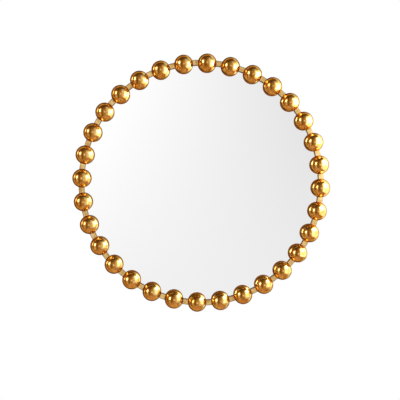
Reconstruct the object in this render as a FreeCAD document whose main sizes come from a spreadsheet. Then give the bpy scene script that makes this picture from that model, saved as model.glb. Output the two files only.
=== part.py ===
import FreeCAD, Part
import math
import os
import Sketcher

# A round wall mirror in a ring of turned and gilded balls. Millimetres and degrees.
#
# Each piece is drawn as it lies on the bench, face up: x to the right, y towards the
# mirror's top, z towards the viewer, with z = 0 in the wall plane. Its Placement then
# stands it up, so the finished part has +Z up, its back on the wall at y = 0 and its
# face towards -Y. The origin is the middle of the mirror, in the wall plane.

SIZES = {
    # ring of balls
    "bead_count": 32,
    "bead_diameter": 66,
    "bead_circle_radius": 424,
    "first_bead_angle": 87.6,
    "bead_set": 3,  # from the bar's face out to the balls' centres
    "slot_clearance": 0.25,  # each side of the bar in a ball's slot
    "glass_relief": 0.4,  # between the glass and the balls that hang over it
    # ring bar and the joint that closes it
    "bar_inset": 8.5,  # from the circle of balls' centres in to the bar's inner edge
    "bar_width": 20,
    "bar_thickness": 8,
    "bar_edge_radius": 1.5,
    "joint_gap": 0.4,
    "dowel_diameter": 4,
    "dowel_length": 24,
    "dowel_clearance": 0.05,
    "joint_screw_diameter": 4,
    "joint_screw_offset": 3,
    "joint_screw_sink": 0.3,
    "joint_screw_slot_width": 0.9,
    "joint_screw_slot_depth": 0.8,
    # rebate and what lies in it
    "band_thickness": 2,
    "glass_thickness": 5,
    "glass_edge_clearance": 1.5,
    "glass_arris": 0.5,
    "cushion_thickness": 2,
    "cushion_inset": 4,
    "board_thickness": 9,
    "board_edge_clearance": 1,
    "board_chamfer": 0.8,
    # lugs that hold the board in
    "lug_count": 8,
    "lug_width": 20,
    "lug_reach": 27,
    "lug_thickness": 2,
    "lug_hole_inset": 17,
    "lug_corner_radius": 4,
    # countersunk screws that hold the balls
    "bead_screw_diameter": 4.5,
    "bead_screw_head": 9,
    "bead_screw_sink": 0.2,
    "bead_screw_bite": 22,
    # pan-head screws in the board
    "screw_diameter": 3.5,
    "screw_head": 7,
    "screw_head_height": 2.4,
    "screw_bite": 7,
    "recess_reach": 2,
    "recess_width": 0.9,
    "recess_depth": 1.2,
    "hole_clearance": 0.3,  # round a screw in the piece that it holds
    "pilot_clearance": 0.05,  # round a screw in the wood that it bites
    "pilot_end_clearance": 0.5,
    # strap hangers and their D rings
    "hanger_spacing": 460,
    "hanger_axis_height": 190,
    "strap_width": 18,
    "strap_length": 58,
    "strap_thickness": 1.5,
    "strap_corner_radius": 7,
    "strap_upper_hole": 33,
    "strap_lower_hole": 49,
    "knuckle_lift": 0.3,
    "hinge_clearance": 0.08,
    "wire_diameter": 4,
    "ring_half_width": 14,
    "ring_corner_radius": 4,
    "ring_leg": 8,
    # rubber bumpers that rest on the wall
    "bumper_count": 4,
    "bumper_height": 10.5,
    "bumper_inset": 61.5,  # from the board's edge in to the bumpers' centres
    "bumper_base_diameter": 25,
    "bumper_face_diameter": 22,
    "bumper_recess_diameter": 9.5,
    "bumper_seat": 4.5,
    "first_bumper_angle": 45,
}

# Heights above the wall plane, from the back to the front.
BOARD_BACK = "sheet.bumper_height"
BOARD_FRONT = f"({BOARD_BACK} + sheet.board_thickness)"
GLASS_BACK = f"({BOARD_FRONT} + sheet.cushion_thickness)"
GLASS_FRONT = f"({GLASS_BACK} + sheet.glass_thickness)"
BAR_FRONT = f"({GLASS_FRONT} + sheet.bar_thickness)"
BEAD_CENTRE = f"({BAR_FRONT} + sheet.bead_set)"
SCREW_TIP = f"({BOARD_BACK} + sheet.screw_bite)"

# Radii about the mirror's axis.
BAR_INNER = "(sheet.bead_circle_radius - sheet.bar_inset)"
BAR_OUTER = f"({BAR_INNER} + sheet.bar_width)"
BAR_MIDDLE = f"({BAR_INNER} + sheet.bar_width / 2)"
BAND_INNER = f"({BAR_OUTER} - sheet.band_thickness)"
BOARD_RADIUS = f"({BAND_INNER} - sheet.board_edge_clearance)"
GLASS_RADIUS = f"({BAND_INNER} - sheet.glass_edge_clearance)"
LUG_HOLE_RADIUS = f"({BAR_OUTER} - sheet.lug_hole_inset)"
BUMPER_RADIUS = f"({BOARD_RADIUS} - sheet.bumper_inset)"

# Angles about the mirror's axis, anticlockwise from the right as the viewer sees it.
PITCH = "(360 / sheet.bead_count)"
FIRST_LINK = f"(sheet.first_bead_angle + {PITCH} / 2)"

# The D ring's own line: its straight part turns in the strap's knuckle.
KNUCKLE_BORE = "(sheet.wire_diameter / 2 + sheet.hinge_clearance)"
KNUCKLE_RADIUS = f"({KNUCKLE_BORE} + sheet.strap_thickness)"
STRAP_FACE = f"({BOARD_BACK} - sheet.strap_thickness)"
RING_AXIS = f"({STRAP_FACE} - sheet.knuckle_lift - {KNUCKLE_BORE})"

CUT_OVER = 1  # how far a cutting shape runs past the piece that it cuts
GROOVE_ANGLE = 30  # wider than any ball as seen from the mirror's axis
CROWN_SHARE = 0.36  # radius of a pan head's flat top, as a share of the head's diameter

doc = FreeCAD.newDocument("round_beaded_mirror")
sheet = doc.addObject("Spreadsheet::Sheet", "sheet")
for row, (alias, size) in enumerate(SIZES.items(), start=1):
    sheet.set(f"A{row}", alias)
    sheet.set(f"B{row}", str(size))
    sheet.setAlias(f"B{row}", alias)
doc.recompute()


def value(expression):
    """The number that an expression over the sheet gives now."""
    return float(sheet.evalExpression(expression.replace("sheet.", "")))


# Sketches --------------------------------------------------------------------------

def origin_feature(body, role):
    """One of a body's own origin planes or axes."""
    return [item for item in body.Origin.OriginFeatures if item.Role == role][0]


def sketch_on(body, plane, name, offset="0"):
    """A sketch on an origin plane, moved along that plane's normal."""
    sketch = body.newObject("Sketcher::SketchObject", name)
    sketch.AttachmentSupport = [(origin_feature(body, plane), "")]
    sketch.MapMode = "FlatFace"
    sketch.setExpression("AttachmentOffset.Base.z", offset)
    return sketch


def bind(sketch, constraint, name, expression):
    """Add a constraint whose size follows the sheet."""
    index = sketch.addConstraint(constraint)
    sketch.renameConstraint(index, name)
    sketch.setExpression(f"Constraints.{name}", expression)


def pin(sketch, edge, end, x, y):
    """Hold one end of an edge (3 is a circle's centre) at a point."""
    across = Sketcher.Constraint("DistanceX", -1, 1, edge, end, value(x))
    bind(sketch, across, f"x_{edge}_{end}", x)
    along = Sketcher.Constraint("DistanceY", -1, 1, edge, end, value(y))
    bind(sketch, along, f"y_{edge}_{end}", y)


def line(sketch, start, end, construction=False):
    """A straight edge from start to end, each a pair of expressions."""
    points = [FreeCAD.Vector(value(x), value(y), 0) for x, y in (start, end)]
    return sketch.addGeometry(Part.LineSegment(*points), construction)


def join(sketch, edge, end, other, other_end):
    """Make two edges meet."""
    sketch.addConstraint(Sketcher.Constraint("Coincident", edge, end, other, other_end))


def outline(sketch, corners):
    """A closed outline with straight sides, each corner a pair of expressions."""
    following = corners[1:] + corners[:1]
    edges = [line(sketch, start, end) for start, end in zip(corners, following)]
    for edge, nearby in zip(edges, edges[1:] + edges[:1]):
        join(sketch, edge, 2, nearby, 1)
    for edge, (x, y) in zip(edges, corners):
        pin(sketch, edge, 1, x, y)


def rectangle(sketch, left, right, bottom, top):
    """An upright rectangle between four expressions."""
    outline(sketch, [(left, bottom), (right, bottom), (right, top), (left, top)])


def circle(sketch, x, y, radius):
    """A circle about a point."""
    centre = FreeCAD.Vector(value(x), value(y), 0)
    curve = Part.Circle(centre, FreeCAD.Vector(0, 0, 1), value(radius))
    edge = sketch.addGeometry(curve, False)
    pin(sketch, edge, 3, x, y)
    bind(sketch, Sketcher.Constraint("Radius", edge, value(radius)), f"radius_{edge}", radius)


def arc(sketch, x, y, radius, start, end):
    """An arc about (x, y) between two angles in degrees, whose ends other edges hold."""
    centre = FreeCAD.Vector(value(x), value(y), 0)
    curve = Part.Circle(centre, FreeCAD.Vector(0, 0, 1), value(radius))
    ends = (math.radians(start), math.radians(end))
    edge = sketch.addGeometry(Part.ArcOfCircle(curve, *ends), False)
    level = Sketcher.Constraint("DistanceY", -1, 1, edge, 3, value(y))
    bind(sketch, level, f"centre_y_{edge}", y)
    return edge


# Features --------------------------------------------------------------------------

def piece(label):
    """An empty body for one sub-part, which may hold several like solids."""
    body = doc.addObject("PartDesign::Body", label)
    body.Label = label
    body.AllowCompound = True
    return body


def pad(body, name, sketch, length, midplane=False):
    """Raise a sketch along its plane's normal, or to both sides of it."""
    feature = body.newObject("PartDesign::Pad", name)
    feature.Profile = sketch
    feature.setExpression("Length", length)
    feature.Midplane = midplane
    return feature


def pocket(body, name, sketch, depth, midplane=False):
    """Cut a sketch along its plane's normal, towards the viewer, or to both sides."""
    feature = body.newObject("PartDesign::Pocket", name)
    feature.Profile = sketch
    feature.setExpression("Length", depth)
    feature.Midplane = midplane
    feature.Reversed = not midplane
    return feature


def revolve(body, name, sketch, axis="V_Axis"):
    """Turn a sketch right round its upright axis."""
    feature = body.newObject("PartDesign::Revolution", name)
    feature.Profile = sketch
    feature.ReferenceAxis = (sketch, [axis])
    feature.Angle = 360
    return feature


def polar(body, name, features, count):
    """Repeat features evenly round the mirror's axis."""
    pattern = body.newObject("PartDesign::PolarPattern", name)
    pattern.Originals = features
    pattern.Axis = (origin_feature(body, "Z_Axis"), [""])
    pattern.Angle = 360
    pattern.setExpression("Occurrences", count)
    body.Tip = pattern
    doc.recompute()
    return pattern


def edges_where(feature, test):
    """Names of a feature's edges that pass a test."""
    doc.recompute()
    return [f"Edge{n}" for n, edge in enumerate(feature.Shape.Edges, 1) if test(edge)]


def fillet(body, name, base, edges, radius):
    """Round edges of the last feature."""
    feature = body.newObject("PartDesign::Fillet", name)
    feature.Base = (base, edges)
    feature.setExpression("Radius", radius)
    return feature


def chamfer(body, name, base, edges, size):
    """Break edges of the last feature at 45 degrees."""
    feature = body.newObject("PartDesign::Chamfer", name)
    feature.Base = (base, edges)
    feature.setExpression("Size", size)
    return feature


def stand(body, x="0", y="0", turn="0"):
    """Turn a body about the mirror's axis, then stand it up at bench point (x, y)."""
    upright = FreeCAD.Rotation(FreeCAD.Vector(1, 0, 0), 90)
    about_axis = FreeCAD.Rotation(FreeCAD.Vector(0, 0, 1), value(turn))
    body.Placement = FreeCAD.Placement(FreeCAD.Vector(), upright * about_axis)
    body.setExpression("Placement.Base.x", x)
    body.setExpression("Placement.Base.z", y)


def is_upright(edge):
    """Does an edge run along z?"""
    return abs(abs(edge.tangentAt(edge.FirstParameter).z) - 1) < 1e-6


# Ring of balls ---------------------------------------------------------------------

def make_bead(number):
    """A turned ball, slotted from behind over the bar and cut away for the glass."""
    body = piece(f"bead_{number:02d}")
    ball = body.newObject("PartDesign::AdditiveSphere", "ball")
    ball.setExpression("Radius", "sheet.bead_diameter / 2")
    ball.AttachmentSupport = [(origin_feature(body, "XY_Plane"), "")]
    ball.MapMode = "FlatFace"
    ball.setExpression("AttachmentOffset.Base.x", "sheet.bead_circle_radius")
    ball.setExpression("AttachmentOffset.Base.z", BEAD_CENTRE)

    inside = f"(sheet.bead_circle_radius - sheet.bead_diameter / 2 - {CUT_OVER})"
    behind = f"({BEAD_CENTRE} - sheet.bead_diameter / 2 - {CUT_OVER})"
    slot_inner = f"({BAR_INNER} - sheet.slot_clearance)"
    slot_outer = f"({BAR_OUTER} + sheet.slot_clearance)"
    over_glass = f"({GLASS_FRONT} + sheet.glass_relief)"
    step = sketch_on(body, "XZ_Plane", "rebate_and_slot_section")
    outline(step, [
        (inside, behind), (slot_outer, behind), (slot_outer, BAR_FRONT),
        (slot_inner, BAR_FRONT), (slot_inner, over_glass), (inside, over_glass),
    ])
    groove = body.newObject("PartDesign::Groove", "rebate_and_slot")
    groove.Profile = step
    groove.ReferenceAxis = (step, ["V_Axis"])
    groove.Angle = GROOVE_ANGLE
    groove.Midplane = True

    hole = sketch_on(body, "XY_Plane", "pilot_hole_section", BAR_FRONT)
    circle(hole, "sheet.bead_circle_radius", "0",
           "sheet.bead_screw_diameter / 2 + sheet.pilot_clearance")
    pocket(body, "pilot_hole", hole, "sheet.bead_screw_bite + sheet.pilot_end_clearance")
    stand(body, turn=f"sheet.first_bead_angle + {number - 1} * {PITCH}")
    return body


def make_bead_screws():
    """Countersunk screws that come from behind, through the bar and into the balls."""
    body = piece("bead_screws")
    middle = "sheet.bead_circle_radius"
    head_face = f"({GLASS_FRONT} + sheet.bead_screw_sink)"
    shank = f"({middle} + sheet.bead_screw_diameter / 2)"
    rim = f"({middle} + sheet.bead_screw_head / 2)"
    head_end = f"({head_face} + (sheet.bead_screw_head - sheet.bead_screw_diameter) / 2)"
    tip = f"({BAR_FRONT} + sheet.bead_screw_bite)"
    section = sketch_on(body, "XZ_Plane", "screw_section")
    outline(section, [
        (middle, head_face), (rim, head_face), (shank, head_end),
        (shank, f"{tip} - sheet.bead_screw_diameter / 2"), (middle, tip),
    ])
    line(section, (middle, "0"), (middle, tip), construction=True)
    screw = revolve(body, "screw", section, "Axis0")
    cross = cross_recess(body, "recess", middle, "0", head_face)
    polar(body, "screws_round_ring", [screw, cross], "sheet.bead_count")
    stand(body, turn="sheet.first_bead_angle")
    return body


# Ring bar --------------------------------------------------------------------------

def make_ring_bar():
    """Flat bar rolled into a ring, butted in one link and drilled for the balls."""
    body = piece("ring_bar")
    section = sketch_on(body, "XZ_Plane", "bar_section")
    rectangle(section, BAR_INNER, BAR_OUTER, GLASS_FRONT, BAR_FRONT)
    ring = revolve(body, "rolled_ring", section)
    front = edges_where(ring, lambda edge: abs(edge.CenterOfMass.z - value(BAR_FRONT)) < 1e-6)
    fillet(body, "front_edges", ring, front, "sheet.bar_edge_radius")

    centres = sketch_on(body, "XY_Plane", "screw_hole_centre", GLASS_FRONT)
    circle(centres, f"sheet.bead_circle_radius * cos({PITCH} / 2)",
           f"sheet.bead_circle_radius * sin({PITCH} / 2)", "sheet.bead_screw_diameter / 2")
    doc.recompute()
    hole = body.newObject("PartDesign::Hole", "screw_hole")
    hole.Profile = centres
    doc.recompute()
    hole.DepthType = "ThroughAll"
    hole.Reversed = True
    hole.setExpression("Diameter", "sheet.bead_screw_diameter + 2 * sheet.hole_clearance")
    hole.HoleCutType = "Countersink"
    hole.HoleCutCustomValues = True
    hole.HoleCutCountersinkAngle = 90
    around_head = "2 * (sheet.bead_screw_sink + sheet.hole_clearance)"
    hole.setExpression("HoleCutDiameter", f"sheet.bead_screw_head + {around_head}")
    doc.recompute()
    polar(body, "screw_holes", [hole], "sheet.bead_count")

    # The joint lies at the back of the turn, where x is negative.
    gap = sketch_on(body, "XY_Plane", "joint_gap_section", GLASS_FRONT)
    rectangle(gap, f"-({BAR_OUTER} + {CUT_OVER})", f"-({BAR_INNER} - {CUT_OVER})",
              "-sheet.joint_gap / 2", "sheet.joint_gap / 2")
    pocket(body, "joint_gap", gap, "sheet.bar_thickness")
    bore = sketch_on(body, "XZ_Plane", "dowel_hole_section")
    circle(bore, f"-{BAR_MIDDLE}", f"{GLASS_FRONT} + sheet.bar_thickness / 2",
           "sheet.dowel_diameter / 2 + sheet.dowel_clearance")
    pocket(body, "dowel_hole", bore, "sheet.dowel_length + 2 * sheet.pilot_end_clearance",
           midplane=True)
    tapped = sketch_on(body, "XY_Plane", "joint_screw_hole_section",
                       f"{GLASS_FRONT} + sheet.bar_thickness / 2")
    circle(tapped, f"-{BAR_MIDDLE}", "sheet.joint_screw_offset",
           "sheet.joint_screw_diameter / 2 + sheet.pilot_clearance")
    pocket(body, "joint_screw_hole", tapped, "sheet.bar_thickness / 2")
    stand(body, turn=f"{FIRST_LINK} - 180")
    return body


def make_joint_dowel():
    """Round dowel that lines up the bar's two ends."""
    body = piece("ring_joint_dowel")
    section = sketch_on(body, "XZ_Plane", "dowel_section")
    circle(section, f"-{BAR_MIDDLE}", f"{GLASS_FRONT} + sheet.bar_thickness / 2",
           "sheet.dowel_diameter / 2")
    pad(body, "dowel", section, "sheet.dowel_length", midplane=True)
    stand(body, turn=f"{FIRST_LINK} - 180")
    return body


def make_joint_screw():
    """Slotted grub screw in the bar's face, tightened on the dowel."""
    body = piece("ring_joint_screw")
    on_dowel = (f"({GLASS_FRONT} + (sheet.bar_thickness + sheet.dowel_diameter) / 2"
                " + sheet.dowel_clearance)")
    face = f"({BAR_FRONT} - sheet.joint_screw_sink)"
    section = sketch_on(body, "XY_Plane", "screw_section", on_dowel)
    circle(section, f"-{BAR_MIDDLE}", "sheet.joint_screw_offset",
           "sheet.joint_screw_diameter / 2")
    pad(body, "screw", section, f"{face} - {on_dowel}")
    slot = sketch_on(body, "XY_Plane", "slot_section",
                     f"{face} - sheet.joint_screw_slot_depth")
    half_width = "sheet.joint_screw_slot_width / 2"
    reach = f"(sheet.joint_screw_diameter / 2 + {CUT_OVER})"
    rectangle(slot, f"-{BAR_MIDDLE} - {half_width}", f"-{BAR_MIDDLE} + {half_width}",
              f"sheet.joint_screw_offset - {reach}", f"sheet.joint_screw_offset + {reach}")
    pocket(body, "slot", slot, f"sheet.joint_screw_slot_depth + {CUT_OVER}")
    stand(body, turn=f"{FIRST_LINK} - 180")
    return body


# Rebate, glass and board -----------------------------------------------------------

def make_rebate_band():
    """Thin hoop on the back of the bar, as deep as the glass, foam and board."""
    body = piece("rebate_band")
    section = sketch_on(body, "XZ_Plane", "band_section")
    rectangle(section, BAND_INNER, BAR_OUTER, BOARD_BACK, GLASS_FRONT)
    revolve(body, "hoop", section)
    stand(body)
    return body


def make_mirror_glass():
    """Flat silvered disc with its sharp edges taken off."""
    body = piece("mirror_glass")
    flat = f"{GLASS_RADIUS} - sheet.glass_arris"
    section = sketch_on(body, "XZ_Plane", "glass_section")
    outline(section, [
        ("0", GLASS_BACK), (flat, GLASS_BACK),
        (GLASS_RADIUS, f"{GLASS_BACK} + sheet.glass_arris"),
        (GLASS_RADIUS, f"{GLASS_FRONT} - sheet.glass_arris"),
        (flat, GLASS_FRONT), ("0", GLASS_FRONT),
    ])
    revolve(body, "disc", section)
    stand(body)
    return body


def make_glass_cushion():
    """Foam sheet between the glass and the board."""
    body = piece("glass_cushion")
    section = sketch_on(body, "XY_Plane", "cushion_section", BOARD_FRONT)
    circle(section, "0", "0", f"{BOARD_RADIUS} - sheet.cushion_inset")
    pad(body, "sheet_of_foam", section, "sheet.cushion_thickness")
    stand(body)
    return body


def pilot_hole(body, tag, x, y):
    """Blind hole for a screw, drilled into the board from behind."""
    section = sketch_on(body, "XY_Plane", f"{tag}_section", BOARD_BACK)
    circle(section, x, y, "sheet.screw_diameter / 2 + sheet.pilot_clearance")
    return pocket(body, tag, section, "sheet.screw_bite + sheet.pilot_end_clearance")


def make_back_board():
    """Round board that presses the foam and the glass against the bar."""
    body = piece("back_board")
    section = sketch_on(body, "XY_Plane", "board_section", BOARD_BACK)
    circle(section, "0", "0", BOARD_RADIUS)
    disc = pad(body, "disc", section, "sheet.board_thickness")
    back = edges_where(disc, lambda edge: edge.BoundBox.ZMax < value(BOARD_BACK) + 1e-6)
    chamfer(body, "back_edge", disc, back, "sheet.board_chamfer")
    hole = pilot_hole(body, "lug_hole", f"{LUG_HOLE_RADIUS} * cos({FIRST_LINK})",
                      f"{LUG_HOLE_RADIUS} * sin({FIRST_LINK})")
    polar(body, "lug_holes", [hole], "sheet.lug_count")
    hole = pilot_hole(body, "bumper_hole", f"{BUMPER_RADIUS} * cos(sheet.first_bumper_angle)",
                      f"{BUMPER_RADIUS} * sin(sheet.first_bumper_angle)")
    polar(body, "bumper_holes", [hole], "sheet.bumper_count")
    for side in (-1, 1):
        for level in ("upper", "lower"):
            pilot_hole(body, f"strap_hole_{level}_{'left' if side < 0 else 'right'}",
                       f"{side} * sheet.hanger_spacing / 2",
                       f"sheet.hanger_axis_height - sheet.strap_{level}_hole")
    stand(body)
    return body


# Screws in the board ---------------------------------------------------------------

def cross_recess(body, tag, x, y, face):
    """Cross-shaped driver recess cut into a screw's head from behind."""
    section = sketch_on(body, "XY_Plane", f"{tag}_section", face)
    near = "sheet.recess_width / 2"
    far = "sheet.recess_reach"
    quarter = [(near, near), (near, far), (f"-{near}", far)]
    corners = []
    for turn in range(4):
        for across, along in quarter:
            for _ in range(turn):
                across, along = f"-({along})", across
            corners.append((f"{x} + {across}", f"{y} + {along}"))
    outline(section, corners)
    return pocket(body, tag, section, "sheet.recess_depth")


def pan_screw(body, tag, x, y, seat):
    """Pan-head screw whose head bears on the height seat, with its driver recess."""
    rim = f"({x} + sheet.screw_head / 2)"
    crown = f"({x} + sheet.screw_head * {CROWN_SHARE})"
    shank = f"({x} + sheet.screw_diameter / 2)"
    head_face = f"({seat} - sheet.screw_head_height)"
    section = sketch_on(body, "XZ_Plane", f"{tag}_section", f"-({y})")
    outline(section, [
        (x, head_face), (crown, head_face), (rim, f"{seat} - sheet.screw_head_height / 2"),
        (rim, seat), (shank, seat), (shank, f"{SCREW_TIP} - sheet.screw_diameter / 2"),
        (x, SCREW_TIP),
    ])
    line(section, (x, "0"), (x, SCREW_TIP), construction=True)
    screw = revolve(body, tag, section, "Axis0")
    return [screw, cross_recess(body, f"{tag}_recess", x, y, head_face)]


def make_lug_screws():
    """One screw through each lug."""
    body = piece("lug_screws")
    seat = f"({BOARD_BACK} - sheet.lug_thickness)"
    screw = pan_screw(body, "screw", LUG_HOLE_RADIUS, "0", seat)
    polar(body, "screws_round_ring", screw, "sheet.lug_count")
    stand(body, turn=FIRST_LINK)
    return body


def make_bumper_screws():
    """One screw sunk in each bumper."""
    body = piece("bumper_screws")
    seat = f"({BOARD_BACK} - sheet.bumper_seat)"
    screw = pan_screw(body, "screw", BUMPER_RADIUS, "0", seat)
    polar(body, "screws_round_board", screw, "sheet.bumper_count")
    stand(body, turn="sheet.first_bumper_angle")
    return body


def make_hanger_screws():
    """Two screws in each strap hanger."""
    body = piece("hanger_screws")
    screws = []
    for level in ("upper", "lower"):
        below = f"-sheet.strap_{level}_hole"
        screws += pan_screw(body, level, "sheet.hanger_spacing / 2", below, STRAP_FACE)
    mirrored = body.newObject("PartDesign::Mirrored", "left_side")
    mirrored.Originals = screws
    mirrored.MirrorPlane = (origin_feature(body, "YZ_Plane"), [""])
    body.Tip = mirrored
    stand(body, y="sheet.hanger_axis_height")
    return body


# Lugs, bumpers and hangers ---------------------------------------------------------

def make_lug(number):
    """Plate welded to the edge of the band and screwed to the board."""
    body = piece(f"retaining_lug_{number}")
    inner = f"({BAR_OUTER} - sheet.lug_reach)"
    section = sketch_on(body, "XY_Plane", "lug_section", f"{BOARD_BACK} - sheet.lug_thickness")
    rectangle(section, inner, BAR_OUTER, "-sheet.lug_width / 2", "sheet.lug_width / 2")
    plate = pad(body, "plate", section, "sheet.lug_thickness")
    corners = edges_where(plate, lambda edge: is_upright(edge)
                          and edge.CenterOfMass.x < value(inner) + 1e-6)
    fillet(body, "inner_corners", plate, corners, "sheet.lug_corner_radius")
    hole = sketch_on(body, "XY_Plane", "hole_section", f"{BOARD_BACK} - sheet.lug_thickness")
    circle(hole, LUG_HOLE_RADIUS, "0", "sheet.screw_diameter / 2 + sheet.hole_clearance")
    pocket(body, "hole", hole, "sheet.lug_thickness")
    stand(body, turn=f"{FIRST_LINK} + {number - 1} * 360 / sheet.lug_count")
    return body


def make_bumper(number):
    """Tapered rubber foot with a recess for its screw."""
    body = piece(f"wall_bumper_{number}")
    bore = "(sheet.screw_diameter / 2 + sheet.hole_clearance)"
    recess = "(sheet.bumper_recess_diameter / 2)"
    section = sketch_on(body, "XZ_Plane", "bumper_section")
    outline(section, [
        (bore, BOARD_BACK), ("sheet.bumper_base_diameter / 2", BOARD_BACK),
        ("sheet.bumper_face_diameter / 2", "0"), (recess, "0"),
        (recess, f"{BOARD_BACK} - sheet.bumper_seat"),
        (bore, f"{BOARD_BACK} - sheet.bumper_seat"),
    ])
    revolve(body, "foot", section)
    angle = f"(sheet.first_bumper_angle + {number - 1} * 360 / sheet.bumper_count)"
    stand(body, x=f"{BUMPER_RADIUS} * cos({angle})", y=f"{BUMPER_RADIUS} * sin({angle})")
    return body


def make_hanger_strap(side, name):
    """Steel strap curled round the D ring's straight part and screwed to the board."""
    body = piece(f"hanger_strap_{name}")
    section = sketch_on(body, "XY_Plane", "strap_section", STRAP_FACE)
    rectangle(section, "-sheet.strap_width / 2", "sheet.strap_width / 2",
              "-sheet.strap_length", "0")
    strap = pad(body, "strap", section, "sheet.strap_thickness")
    corners = edges_where(strap, lambda edge: is_upright(edge)
                          and edge.CenterOfMass.y < -value("sheet.strap_length") + 1e-6)
    fillet(body, "lower_corners", strap, corners, "sheet.strap_corner_radius")
    curl = sketch_on(body, "YZ_Plane", "knuckle_section")
    circle(curl, "0", RING_AXIS, KNUCKLE_RADIUS)
    circle(curl, "0", RING_AXIS, KNUCKLE_BORE)
    pad(body, "knuckle", curl, "sheet.strap_width", midplane=True)
    for level in ("upper", "lower"):
        hole = sketch_on(body, "XY_Plane", f"{level}_hole_section", STRAP_FACE)
        circle(hole, "0", f"-sheet.strap_{level}_hole",
               "sheet.screw_diameter / 2 + sheet.hole_clearance")
        pocket(body, f"{level}_hole", hole, "sheet.strap_thickness")
    stand(body, x=f"{side} * sheet.hanger_spacing / 2", y="sheet.hanger_axis_height")
    return body


def make_hanger_ring(side, name):
    """D ring of round wire, hanging down along its strap."""
    body = piece(f"hanger_ring_{name}")
    wide = "sheet.ring_half_width"
    corner = "sheet.ring_corner_radius"
    straight = f"({wide} - {corner})"
    leg = "sheet.ring_leg"
    route = sketch_on(body, "XY_Plane", "ring_line", RING_AXIS)
    right_top = line(route, ("0", "0"), (straight, "0"))
    right_corner = arc(route, straight, f"-{corner}", corner, 0, 90)
    right_leg = line(route, (wide, f"-{corner}"), (wide, f"-{leg}"))
    bow = arc(route, "0", f"-{leg}", wide, 180, 360)
    left_leg = line(route, (f"-{wide}", f"-{leg}"), (f"-{wide}", f"-{corner}"))
    left_corner = arc(route, f"-{straight}", f"-{corner}", corner, 90, 180)
    left_top = line(route, (f"-{straight}", "0"), ("0", "0"))
    pin(route, right_top, 1, "0", "0")
    pin(route, right_top, 2, straight, "0")
    pin(route, right_leg, 1, wide, f"-{corner}")
    pin(route, right_leg, 2, wide, f"-{leg}")
    pin(route, left_leg, 1, f"-{wide}", f"-{leg}")
    pin(route, left_leg, 2, f"-{wide}", f"-{corner}")
    pin(route, left_top, 1, f"-{straight}", "0")
    join(route, left_top, 2, right_top, 1)
    join(route, right_corner, 1, right_leg, 1)
    join(route, right_corner, 2, right_top, 2)
    join(route, bow, 1, left_leg, 1)
    join(route, bow, 2, right_leg, 2)
    join(route, left_corner, 1, left_top, 1)
    join(route, left_corner, 2, left_leg, 2)
    wire = sketch_on(body, "YZ_Plane", "wire_section")
    circle(wire, "0", RING_AXIS, "sheet.wire_diameter / 2")
    doc.recompute()
    ring = body.newObject("PartDesign::AdditivePipe", "ring")
    ring.Profile = wire
    ring.Spine = (route, [])
    stand(body, x=f"{side} * sheet.hanger_spacing / 2", y="sheet.hanger_axis_height")
    return body


# The whole mirror ------------------------------------------------------------------

pieces = [make_bead(number) for number in range(1, int(value("sheet.bead_count")) + 1)]
pieces += [
    make_bead_screws(), make_ring_bar(), make_joint_dowel(), make_joint_screw(),
    make_rebate_band(), make_mirror_glass(), make_glass_cushion(), make_back_board(),
]
pieces += [make_lug(number) for number in range(1, int(value("sheet.lug_count")) + 1)]
pieces += [make_bumper(number) for number in range(1, int(value("sheet.bumper_count")) + 1)]
for side, name in ((-1, "left"), (1, "right")):
    pieces += [make_hanger_strap(side, name), make_hanger_ring(side, name)]
pieces += [make_lug_screws(), make_bumper_screws(), make_hanger_screws()]
doc.recompute()

for item in doc.Objects:
    failed = [state for state in item.State if state in ("Invalid", "Error")]
    if failed:
        raise RuntimeError(f"{item.Name} of the document is {failed}")
for body in pieces:
    if body.Shape.isNull() or not body.Shape.isValid() or not body.Shape.Solids:
        raise RuntimeError(f"{body.Label} has no sound solid")

os.makedirs("parts", exist_ok=True)
for body in pieces:
    body.Shape.exportStep(f"parts/{body.Label}.step")
    volume = body.Shape.Volume / 1000
    print(f"{body.Label}: {len(body.Shape.Solids)} solids, {volume:.2f} cm3")
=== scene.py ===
"""Dresses a round wall mirror, hung in a ring of gilded balls, for a studio picture.

Lengths are metres. +Z is up, the wall is the plane y = 0 and the mirror faces -Y. The
mirror's axis is the Y axis, and angles about it run anticlockwise from +X, as the viewer
sees them.
"""

import math
from typing import NamedTuple

import bmesh
import bpy
import numpy as np
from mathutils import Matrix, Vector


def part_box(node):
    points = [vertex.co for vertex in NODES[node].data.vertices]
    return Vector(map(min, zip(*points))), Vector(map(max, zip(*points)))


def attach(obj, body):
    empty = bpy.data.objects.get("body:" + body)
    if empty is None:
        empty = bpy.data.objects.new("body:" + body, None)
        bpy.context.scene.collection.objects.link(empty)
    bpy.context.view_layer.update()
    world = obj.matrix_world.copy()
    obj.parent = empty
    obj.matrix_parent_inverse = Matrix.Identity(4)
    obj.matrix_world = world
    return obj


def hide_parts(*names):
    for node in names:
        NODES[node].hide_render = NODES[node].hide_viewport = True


bl_info = {
    "name": "Beaded wall mirror",
    "version": (1, 0, 0),
    "blender": (4, 5, 0),
    "location": "3D View > Sidebar > Mirror",
    "description": "Dresses a round wall mirror in a ring of gilded balls",
    "category": "Add Mesh",
}

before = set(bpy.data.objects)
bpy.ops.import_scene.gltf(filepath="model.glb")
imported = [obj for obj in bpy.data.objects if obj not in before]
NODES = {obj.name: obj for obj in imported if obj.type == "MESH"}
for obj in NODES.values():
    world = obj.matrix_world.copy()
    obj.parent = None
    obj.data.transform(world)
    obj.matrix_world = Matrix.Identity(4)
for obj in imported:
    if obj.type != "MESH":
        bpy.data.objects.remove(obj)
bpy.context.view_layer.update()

BALL_NODES = sorted(name for name in NODES if name[:5] == "bead_" and name[5:].isdigit())
LUG_NODES = sorted(name for name in NODES if name.startswith("retaining_lug_"))
BUMPER_NODES = sorted(name for name in NODES if name.startswith("wall_bumper_"))
SIDES = {"left": -1, "right": 1}

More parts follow.
